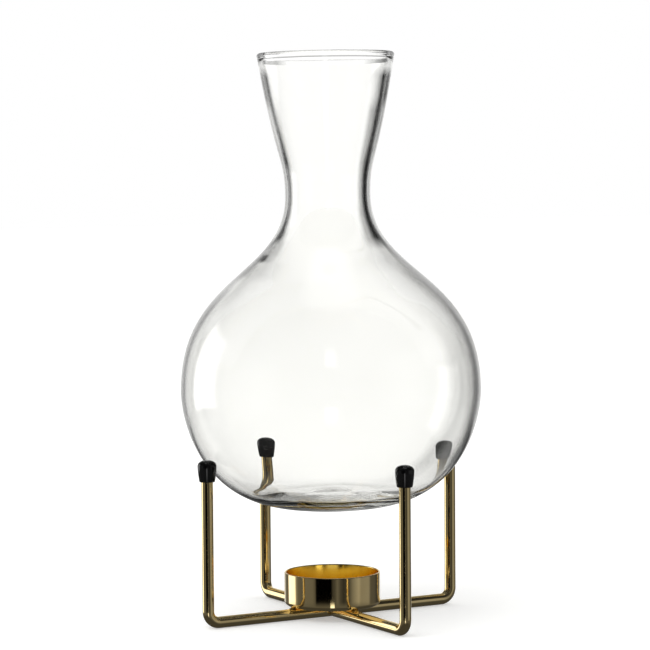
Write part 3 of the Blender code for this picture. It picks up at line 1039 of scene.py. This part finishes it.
    def make_floor(self) -> None:
        """Lay the pale floor, which stays white to the camera and keeps the object's soft shadow.

        Mirrored light passes through it, apart from light that crossed the glass: that meets the floor
        near the object and behind it.
        """
        made, add, shader, output = new_material("matt_white_sweep")
        rays = add("LightPath").node.outputs
        seen, crossed = self.floor_glow
        glow = add("Math", {0: rays["Is Camera Ray"], 1: seen}, operation="MULTIPLY")
        glow = add("Math", {0: rays["Is Transmission Ray"], 1: crossed, 2: glow}, operation="MULTIPLY_ADD")
        feed(shader, {"Base Color": linear(self.floor_colour), "Roughness": 0.9, "Specular IOR Level": 0.1,
                      "Emission Color": grey(1.0), "Emission Strength": glow})
        mirrors = add("Math", {0: rays["Glossy Depth"], 1: 0.5}, operation="GREATER_THAN")
        place = add("TexCoord", output="Object")
        reach = add("VectorMath", {0: place}, "Value", operation="LENGTH")
        away = (-math.sin(CAMERA_AZIMUTH), math.cos(CAMERA_AZIMUTH), 0.0)
        depth = add("VectorMath", {0: place, 1: away}, "Value", operation="DOT_PRODUCT")
        near, behind = [add("MapRange", {"Value": value, "From Min": start, "From Max": end})
                        for value, (start, end) in ((reach, self.floor_near), (depth, self.floor_behind))]
        solid = add("Math", {0: near, 1: behind}, operation="MULTIPLY")
        solid = add("Math", {0: solid, 1: rays["Is Transmission Ray"]}, operation="MULTIPLY")
        hidden = add("Math", {0: 1.0, 1: solid}, operation="SUBTRACT")
        hidden = add("Math", {0: hidden, 1: mirrors}, operation="MULTIPLY")
        feed(output, {"Surface": add("MixShader", {0: hidden, 1: shader.outputs[0], 2: add("BsdfTransparent")})})
        mesh = bpy.data.meshes.new("white_sweep")
        corners = ((-1, -1), (1, -1), (1, 1), (-1, 1))
        mesh.from_pydata([(x * self.floor_reach, y * self.floor_reach, self.floor_level) for x, y in corners],
                         [], [(0, 1, 2, 3)])
        mesh.materials.append(made)
        floor = bpy.data.objects.new("white_sweep", mesh)
        SCENE.collection.objects.link(floor)

    def make_lamp(self) -> None:
        """Hang one large soft box high on the camera's left."""
        lamp = bpy.data.lights.new("overhead_soft_box", "AREA")
        lamp.size, lamp.energy = self.lamp_size, self.lamp_power
        item = bpy.data.objects.new("overhead_soft_box", lamp)
        item.location = self.lamp_place
        item.rotation_mode = "QUATERNION"
        item.rotation_quaternion = Vector(self.lamp_axis).to_track_quat("Z", "Y")
        item.visible_glossy = item.visible_transmission = False
        SCENE.collection.objects.link(item)

    def build(self) -> None:
        """Make the world, the floor and the lamp."""
        self.make_world()
        self.make_floor()
        self.make_lamp()


@dataclass
class PhotoCamera:
    """Camera at the photograph's viewing angle, as fitted to the outline of the glass and the wires."""

    distance: float = 1.15664
    height: float = 0.20203
    pitch: float = math.radians(3.64)
    roll: float = math.radians(-0.40)
    side_step: float = -0.00148
    focal_pixels: float = 2648.7
    frame_pixels: int = 650
    centre_pixel: float = 327.18
    sensor_width: float = 36.0

    def build(self) -> None:
        """Place the camera and make it the scene's own."""
        data = bpy.data.cameras.new("photo_camera")
        data.sensor_width = self.sensor_width
        data.lens = self.focal_pixels * self.sensor_width / self.frame_pixels
        data.shift_x = 0.5 - self.centre_pixel / self.frame_pixels
        data.clip_start, data.clip_end = 0.05, 20.0
        camera = bpy.data.objects.new("photo_camera", data)
        turn = Matrix.Rotation(CAMERA_AZIMUTH, 4, "Z")
        place = turn @ Matrix.Translation((self.side_step, -self.distance, self.height))
        camera.matrix_world = (place @ Matrix.Rotation(QUARTER_TURN - self.pitch, 4, "X")
                               @ Matrix.Rotation(self.roll, 4, "Z"))
        SCENE.collection.objects.link(camera)
        SCENE.camera = camera


def main() -> None:
    """Build the camera, the carafe, the stand and the studio, in that order."""
    logging.basicConfig(level=logging.INFO, format="%(name)s: %(message)s")
    SCENE.view_settings.view_transform = "Standard"
    bounces = SCENE.cycles
    bounces.max_bounces, bounces.glossy_bounces, bounces.transmission_bounces = 32, 20, 28
    PhotoCamera().build()
    Carafe().build([BlownGlass(skin).make() for skin in Skin])
    wire_brass = PolishedBrass("polished_brass_plated_wire").make()
    stand = WireStand()
    stand.build(wire_brass)
    cup_brass = PolishedBrass("polished_brass_drawn_sheet", roughness=0.05, relief_mm=0.004).make()
    # brass for the inside of the cup: rougher, and in a brighter gold that is painted light for the light gathered
    # inside the cup
    satin_brass_painted_light = PolishedBrass("satin_brass_inside_of_cup_painted_light", "#F2E09C", "#E9D286", 0.10, relief_mm=0.004).make()
    CandleCup().build(cup_brass, satin_brass_painted_light)
    BrazedJoints().build(Brazing().make())
    vinyl = DippedVinyl().make()
    for leg in Leg:
        LegCap().build(leg, stand.leg_radius, vinyl)
    Studio().build()


if __name__ == "__main__":
    main()
